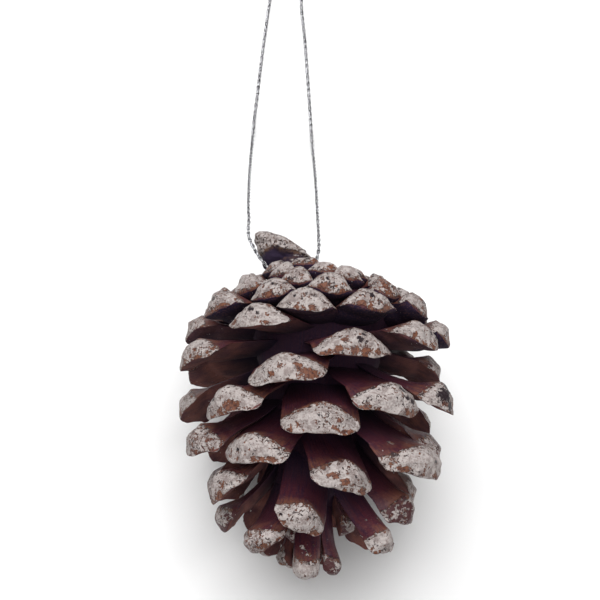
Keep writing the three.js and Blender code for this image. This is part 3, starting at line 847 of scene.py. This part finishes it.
# The floor's size in metres, and the lights: name, place and size in metres, and power in watts.
FLOOR_SIZE = 6
LIGHTS = [("key", (-0.2, 0.45, 1.15), 1.4, 18.5), ("fill", (0.2, -0.2, 1.3), 1.8, 15)]
AIM = (0, 0, 0.03)

# The curve between a photograph's values and light.
CURVE_START = 0.04045
CURVE_SLOPE = 12.92
CURVE_OFFSET = 0.055
CURVE_POWER = 2.4


def srgb(red, green, blue):
    """A colour as the photograph gives it, from 0 to 255, for a shader."""
    def linear(value):
        share = value / 255
        if share <= CURVE_START:
            return share / CURVE_SLOPE
        return ((share + CURVE_OFFSET) / (1 + CURVE_OFFSET)) ** CURVE_POWER
    return (linear(red), linear(green), linear(blue), 1.0)


class Shader:
    """A material, and short calls that add nodes to it. Values are numbers, colours or nodes' outputs."""

    def __init__(self, name):
        self.material = bpy.data.materials.new(name)
        self.material.use_nodes = True
        self.tree = self.material.node_tree
        self.tree.nodes.clear()

    def add(self, kind, output=0, settings=None, **inputs):
        """Adds a node and gives one of its outputs. An input is named as in Blender, with _ for a space, or
        by i and its number."""
        node = self.tree.nodes.new(kind)
        for key, value in (settings or {}).items():
            setattr(node, key, value)
        for key, value in inputs.items():
            name = key.replace("_", " ")
            socket = node.inputs[int(name[1:])] if name[1:].isdigit() else node.inputs[name]
            if isinstance(value, bpy.types.NodeSocket):
                self.tree.links.new(value, socket)
            else:
                socket.default_value = value
        return None if output is None else node.outputs[output]

    def math(self, operation, a, b):
        return self.add("ShaderNodeMath", settings={"operation": operation}, i0=a, i1=b)

    def plus(self, a, b):
        return self.math("ADD", a, b)

    def less(self, a, b):
        return self.math("SUBTRACT", a, b)

    def times(self, a, b):
        return self.math("MULTIPLY", a, b)

    def larger(self, a, b):
        return self.math("MAXIMUM", a, b)

    def swing(self, value, reach):
        """A value from 0 to 1 as one about zero, of this reach in all."""
        return self.times(self.less(value, 0.5), reach)

    def ramp(self, value, low, high, start=0.0, end=1.0):
        """A smooth step of a value from low to high, from start to end."""
        return self.add("ShaderNodeMapRange", settings={"interpolation_type": "SMOOTHSTEP"}, Value=value,
                        From_Min=low, From_Max=high, To_Min=start, To_Max=end)

    def mix(self, a, b, share):
        return self.add("ShaderNodeMix", output=2, settings={"data_type": "RGBA"}, Factor=share, i6=a, i7=b)

    def noise(self, where, scale, detail=3.0, roughness=0.55, distortion=0.0):
        return self.add("ShaderNodeTexNoise", Vector=where, Scale=scale, Detail=detail, Roughness=roughness,
                        Distortion=distortion)

    def patches(self, where, noise, edge):
        """Noise that is cut off by a smooth step."""
        return self.ramp(self.noise(where, *noise), *edge)

    def cells(self, where, scale):
        """A number from 0 to 1 that is the same all over each of many angular cells."""
        colour = self.add("ShaderNodeTexVoronoi", output="Color", Vector=where, Scale=scale)
        return self.add("ShaderNodeSeparateColor", Color=colour)

    def shaken(self, where, scale, amount):
        """Places moved by noise, by the amount in the places' own unit."""
        moved = self.add("ShaderNodeTexNoise", output="Color", Vector=where, Scale=scale, Detail=2.0)
        for operation, number in (("SUBTRACT", 0.5), ("MULTIPLY", amount)):
            moved = self.add("ShaderNodeVectorMath", settings={"operation": operation}, i0=moved,
                             i1=(number,) * 3)
        return self.add("ShaderNodeVectorMath", i0=where, i1=moved)

    def value(self, name):
        """A number stored at the mesh's points."""
        return self.add("ShaderNodeAttribute", output="Fac", settings={"attribute_name": name})

    def parts(self, name):
        """The three numbers stored together at the mesh's points."""
        vector = self.add("ShaderNodeAttribute", output="Vector", settings={"attribute_name": name})
        node = self.tree.nodes.new("ShaderNodeSeparateXYZ")
        self.tree.links.new(vector, node.inputs[0])
        return node.outputs[0], node.outputs[1], node.outputs[2]

    def millimetres(self, squeeze=(1, 1, 1)):
        """The place on the piece in millimetres, or squeezed along its directions."""
        place = self.add("ShaderNodeTexCoord", output="Object")
        return self.add("ShaderNodeVectorMath", settings={"operation": "MULTIPLY"}, i0=place,
                        i1=[MM_IN_METRE * part for part in squeeze])

    def finish(self, colour, roughness, height, metallic=0.0, specular=0.5):
        """Ends in a principled surface, with its height in millimetres as bump."""
        bump = self.add("ShaderNodeBump", Height=height, Distance=MM, Strength=1.0)
        surface = self.add("ShaderNodeBsdfPrincipled", Base_Color=colour, Roughness=roughness, Normal=bump,
                           Metallic=metallic, Specular_IOR_Level=specular)
        self.add("ShaderNodeOutputMaterial", output=None, Surface=surface)
        return self.material


MAROON = srgb(74, 32, 41)
OCHRE = srgb(106, 66, 52)
# The colour of painted shade, and of the dark grain lines and mottles.
SHADE_AND_GRAIN = srgb(36, 24, 46)
TAN = srgb(122, 76, 68)
WORN = srgb(116, 74, 56)
WORN_DARK = srgb(72, 46, 42)
PIT = srgb(36, 23, 28)
DUST = srgb(120, 80, 70)
SPECK = srgb(56, 42, 42)
SPECK_BROWN = srgb(104, 70, 58)
PAINT = srgb(180, 171, 168)
PAINT_GREY = srgb(138, 126, 123)
BARK_DARK = srgb(44, 32, 36)
BARK_BROWN = srgb(98, 72, 56)
FOIL_DARK = srgb(46, 44, 46)
FOIL_BRIGHT = srgb(204, 204, 208)
FLOOR_GREY = srgb(244, 244, 244)
FLOOR_WHITE = srgb(248, 248, 248)


# The looks below are made of noises, as (bumps a millimetre, detail, roughness, distortion), of smooth steps,
# as (where one starts, where it ends, its value before, its value after), and of patches, as (noise, step).

# The torn edge of the paint, and its specks: how they follow the depth inside it, crowd and grow with wear.
TORN_NOISE = (0.6, 5, 0.6)
TORN_REACH = 3.4
PAINT_EDGE = (0.0, 0.3)
SPECK_CROWDS = ((0.16, 2, 0.5), (0.35, 0.65, 0.045, -0.04))
SPECK_NOISE = (1.1, 4, 0.66, 0.8)
SPECK_LIMIT = (0.2, 2.4, 0.47, 0.58)
SPECK_WEAR = 0.07
SPECK_EDGE = (0.0, 0.03)

# The chips: angular cells with ragged sides, more of them near the rim, in clusters and where there is wear.
SHAKE_SIZE = 1.1
SHAKE_REACH = 1.1
CHIP_CELLS = 0.62
CHIP_NEAR_RIM = (0.4, 4.2, 0.34, 0.0)
CLUSTERS = ((0.3, 3, 0.6), (0.4, 0.66, -0.6, 0.1))
CHIP_WEAR = 0.75
RAGGED_NOISE = (1.2, 4, 0.7)
RAGGED_REACH = 1.7
CHIP_EDGE = (0.94, 1.0)
MARK_EDGE = (0.46, 0.54)
PIT_EDGE = (0.5, 0.56)

# Dots of paint on the strap behind the crest.
DOTS = ((1.1, 2, 0.5, 0.3), (0.72, 0.74))
DOT_PLACE = (-9, -2)

# The wood: ochre near the crest, painted shade deep inside and on undersides, tan on undersides out of
# that painted shade, with grain, dust and mottles. A place is how far past the crest it is, in millimetres.
GRAIN_ACROSS = 2.4
GRAIN_ALONG = 0.16
GRAIN_SHIFT = 40.0
GRAIN_NOISE = (1.0, 4, 0.6)
GRAIN_EDGE = (0.42, 0.66)
CLOUD_NOISE = (0.22, 3, 0.5)
OCHRE_PLACE = (-6, -0.3)
OCHRE_CLOUD = (0.34, 0.56)
DEEP_SHADE_PLACE = (-24, -5)
TAN_PLACE = (-18, -4)
TAN_CLOUD = (0.34, 0.66, 0.45, 1.0)
SHADE = 0.6
LESS_UNDERSIDE_SHADE = 0.35
DUST_SPOTS = ((1.7, 4, 0.75), (0.5, 0.62))
DUST_PLACE = (-14, -1, 0.06, 0.3)
MOTTLES = ((2.4, 4, 0.7), (0.52, 0.66))

# What shows where the paint is lost, and the paint's own blotches.
WORN_PATCHES = ((1.3, 4, 0.65), (0.38, 0.56))
MUCH_WORN = (0.4, 0.75)
MUCH_WORN_DARK = 0.5
SPECK_TONES = ((0.8, 2, 0.5), (0.42, 0.56))
BLOTCH_NOISE = (0.55, 3, 0.6)
FINE_BLOTCH_NOISE = (1.9, 3, 0.6)
FINE_BLOTCH_SHARE = 0.6
BLOTCH_EDGE = (0.62, 0.9)

# Roughness: bare and painted wood, deep inside and undersides. Then the heights of the relief in millimetres.
PAINT_ROUGH = (0, 1, 0.5, 0.85)
DEEP_ROUGH = (-20, -10, 0.95, 0.5)
UNDERSIDE_ROUGH = 0.95
PAINT_HEIGHT = 0.16
GRAIN_HEIGHT = 0.12
DIMPLE_NOISE = (0.9, 2, 0.5)
DIMPLE_HEIGHT = 0.5
SKIN_NOISE = (2.6, 3, 0.6)
SKIN_HEIGHT = 0.05
WOOD_SPECULAR = 0.25


def scale_material():
    """Smooth dark wood, with off-white paint on the scale ends, speckled, worn and torn at its edge."""
    s = Shader("scale_wood")
    where = s.millimetres()
    depth = s.value("paint_depth")
    across, past, above = s.parts("scale_place")
    tone, underside, painted_underside_shade = s.parts("traits")
    wear, browned, pitted = s.parts("losses")

    cover = s.ramp(s.plus(depth, s.swing(s.noise(where, *TORN_NOISE), TORN_REACH)), *PAINT_EDGE)
    limit = s.plus(s.ramp(depth, *SPECK_LIMIT), s.patches(where, *SPECK_CROWDS))
    limit = s.less(limit, s.times(wear, SPECK_WEAR))
    specks = s.ramp(s.less(s.noise(where, *SPECK_NOISE), limit), *SPECK_EDGE)
    ragged = s.swing(s.noise(where, *RAGGED_NOISE), RAGGED_REACH)
    chips = s.cells(s.shaken(where, SHAKE_SIZE, SHAKE_REACH), CHIP_CELLS)
    chips = s.plus(chips, s.ramp(above, *CHIP_NEAR_RIM))
    chips = s.plus(chips, s.patches(where, *CLUSTERS))
    chips = s.plus(s.plus(chips, s.times(wear, CHIP_WEAR)), ragged)
    worn = s.larger(s.ramp(chips, *CHIP_EDGE), s.ramp(s.plus(browned, ragged), *MARK_EDGE))
    pit = s.ramp(s.plus(pitted, ragged), *PIT_EDGE)
    paint = s.times(cover, s.less(1.0, s.larger(s.larger(specks, pit), worn)))
    dots = s.times(s.patches(where, *DOTS), s.ramp(past, *DOT_PLACE))
    paint = s.larger(paint, dots)

    grain_place = s.add("ShaderNodeCombineXYZ", X=s.times(across, GRAIN_ACROSS), Y=s.times(past, GRAIN_ALONG),
                        Z=s.times(tone, GRAIN_SHIFT))
    grain = s.noise(grain_place, *GRAIN_NOISE)
    cloud = s.noise(where, *CLOUD_NOISE)
    wood = s.mix(MAROON, OCHRE, s.times(s.ramp(past, *OCHRE_PLACE), s.ramp(cloud, *OCHRE_CLOUD)))
    # Painted shade: the wood darkens to the shade colour deep behind the crest, where the scales shade it.
    wood = s.mix(SHADE_AND_GRAIN, wood, s.ramp(past, *DEEP_SHADE_PLACE))
    # Painted shade on the undersides: tan shows only in patches near the rim, and not on crowded scales.
    tan_out_of_shade = s.times(s.ramp(past, *TAN_PLACE), s.ramp(cloud, *TAN_CLOUD))
    tan_out_of_shade = s.times(tan_out_of_shade, s.less(1.0, painted_underside_shade))
    wood = s.mix(wood, s.mix(SHADE_AND_GRAIN, TAN, tan_out_of_shade), underside)
    shade = s.less(SHADE, s.times(underside, LESS_UNDERSIDE_SHADE))
    wood = s.mix(wood, s.mix(wood, SHADE_AND_GRAIN, shade), s.ramp(grain, *GRAIN_EDGE))
    dusty = s.times(s.patches(where, *DUST_SPOTS), s.ramp(past, *DUST_PLACE))
    wood = s.mix(wood, DUST, dusty)
    wood = s.mix(wood, SHADE_AND_GRAIN, s.times(s.patches(where, *MOTTLES), shade))

    lost = s.mix(WORN_DARK, WORN, s.patches(where, *WORN_PATCHES))
    lost = s.mix(lost, s.mix(MAROON, WORN_DARK, MUCH_WORN_DARK), s.ramp(wear, *MUCH_WORN))
    speck = s.mix(SPECK, SPECK_BROWN, s.patches(where, *SPECK_TONES))
    bare = s.mix(wood, s.mix(s.mix(speck, lost, worn), PIT, pit), cover)
    blotch = s.times(s.noise(where, *FINE_BLOTCH_NOISE), FINE_BLOTCH_SHARE)
    blotch = s.plus(s.noise(where, *BLOTCH_NOISE), blotch)
    colour = s.mix(bare, s.mix(PAINT_GREY, PAINT, s.ramp(blotch, *BLOTCH_EDGE)), paint)

    rough = s.larger(s.ramp(paint, *PAINT_ROUGH), s.ramp(past, *DEEP_ROUGH))
    rough = s.larger(rough, s.times(underside, UNDERSIDE_ROUGH))
    height = s.plus(s.times(paint, PAINT_HEIGHT), s.times(grain, GRAIN_HEIGHT))
    height = s.plus(height, s.times(s.times(s.noise(where, *DIMPLE_NOISE), cover), DIMPLE_HEIGHT))
    height = s.plus(height, s.times(s.noise(where, *SKIN_NOISE), SKIN_HEIGHT))
    return s.finish(colour, rough, height, specular=WOOD_SPECULAR)


# The bark: layers along it, torn whitewash and pits.
LAYER_SQUEEZE = (0.4, 1.3, 1.3)
LAYER_NOISE = (1.0, 5, 0.65, 0.5)
WASH_REACH = 4.0
WASH_EDGE = (-0.1, 0.5)
BARK_PITS = ((1.3, 3, 0.6, 0.5), (0.53, 0.57))
LAYER_PITS = (0.4, 0.36)
BARK_PATCHES = ((0.8, 4, 0.6), (0.4, 0.65))
WASH_TONE = (0.35, 0.6)
BARK_ROUGH = 0.85
LAYER_HEIGHT = 0.35
WASH_HEIGHT = 0.1
BARK_SPECULAR = 0.3


def bark_material():
    """Layered bark with whitewash on top and painted shade below, for the stub and the neck."""
    s = Shader("stub_bark")
    where = s.millimetres()
    layers = s.noise(s.millimetres(LAYER_SQUEEZE), *LAYER_NOISE)
    cover = s.ramp(s.plus(s.value("paint_depth"), s.swing(layers, WASH_REACH)), *WASH_EDGE)
    pits = s.larger(s.patches(where, *BARK_PITS), s.ramp(layers, *LAYER_PITS))
    paint = s.times(cover, s.less(1.0, pits))
    wood = s.mix(BARK_DARK, BARK_BROWN, s.patches(where, *BARK_PATCHES))
    # Painted shade: the bark darkens under the stub and all over the neck.
    wood = s.mix(wood, SHADE_AND_GRAIN, s.value("dark"))
    colour = s.mix(wood, s.mix(PAINT_GREY, PAINT, s.ramp(layers, *WASH_TONE)), paint)
    height = s.plus(s.times(layers, LAYER_HEIGHT), s.times(paint, WASH_HEIGHT))
    return s.finish(colour, BARK_ROUGH, height, specular=BARK_SPECULAR)


# The foil thread of the cord, and the floor.
FLECK_NOISE = (2.2, 3, 0.6)
FLECK_EDGE = (0.42, 0.56)
FOIL_ROUGH = (0.3, 0.7, 0.5, 0.25)
FOIL_HEIGHT = 0.08
FOIL_METALLIC = 0.8
FLOOR_BUMPS = 0.02
FLOOR_ROUGH = 0.9


def cord_material():
    """Silver-grey foil thread with dark flecks."""
    s = Shader("metallic_cord")
    flecks = s.noise(s.millimetres(), *FLECK_NOISE)
    colour = s.mix(FOIL_DARK, FOIL_BRIGHT, s.ramp(flecks, *FLECK_EDGE))
    return s.finish(colour, s.ramp(flecks, *FOIL_ROUGH), s.times(flecks, FOIL_HEIGHT), metallic=FOIL_METALLIC)


def floor_material():
    """A plain pale floor."""
    s = Shader("floor")
    colour = s.mix(FLOOR_GREY, FLOOR_WHITE, s.noise(s.millimetres(), FLOOR_BUMPS))
    return s.finish(colour, FLOOR_ROUGH, 0.0, specular=0.0)


def dress(piece, material, node):
    """Gives a piece its material, hides the node that it stands for and puts the piece in the root body."""
    piece.data.materials.append(material)
    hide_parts(node)
    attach(piece, "root")


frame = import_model()

wood = scale_material()
bark = bark_material()
foil = cord_material()

innermost = [n for n in range(INNERMOST_SCALE, FIRST_SCALE) if clear_of_neck(n)]
for name, numbers in (("dome_scales", [*innermost, *range(FIRST_SCALE, LAST_DOME_SCALE + 1)]),
                      ("upper_scales", range(LAST_DOME_SCALE + 1, LAST_UPPER_SCALE + 1)),
                      ("lower_scales", range(LAST_UPPER_SCALE + 1, FIRST_TIP_SCALE)),
                      ("tip_scales", range(FIRST_TIP_SCALE, LAST_SCALE + 1))):
    dress(scales_object(name, numbers), wood, "cone")
dress(spindle_object(), wood, "cone")
dress(neck_object(), bark, "cone")
dress(stub_object(), bark, "cone")

wrap = placed_mesh("cord_turns", wrap_parts())
dress(wrap, foil, "cord_wrap")

cord_line = knotted_curve(CORD_ROUTE, CORD_STEP)
cord = placed_mesh("cord_loop", twisted(cord_line))
dress(cord, foil, "hanging_cord")

bpy.ops.mesh.primitive_plane_add(size=FLOOR_SIZE)
floor = bpy.context.object
floor.name = "floor"
floor.data.materials.append(floor_material())

scene = bpy.context.scene
scene.view_settings.view_transform = "Standard"
world = bpy.data.worlds.new("studio")
scene.world = world
world.use_nodes = True
sky = world.node_tree
ways = sky.nodes.new("ShaderNodeSeparateXYZ")
sky.links.new(sky.nodes.new("ShaderNodeTexCoord").outputs["Generated"], ways.inputs[0])
fade = sky.nodes.new("ShaderNodeMapRange")
fade.interpolation_type = "SMOOTHSTEP"
for key, value in ROOM_LIGHT.items():
    fade.inputs[key].default_value = value
sky.links.new(ways.outputs["Y"], fade.inputs["Value"])
sky.links.new(fade.outputs[0], sky.nodes["Background"].inputs["Strength"])

for name, place, size, power in LIGHTS:
    light = bpy.data.lights.new(name, "AREA")
    light.size = size
    light.energy = power
    lamp = in_scene(name, light)
    lamp.location = place
    lamp.rotation_euler = (Vector(AIM) - Vector(place)).to_track_quat("-Z", "Y").to_euler()

camera_data = bpy.data.cameras.new("camera")
camera_data.lens = LENS
camera = in_scene("camera", camera_data)
backward = (EYE - TARGET).normalized()
rightward = CAMERA_UP.cross(backward).normalized()
upward = backward.cross(rightward)
turned = Matrix((rightward, upward, backward)).transposed().to_4x4()
camera.matrix_world = Matrix.Translation(EYE * MM) @ turned
scene.camera = camera
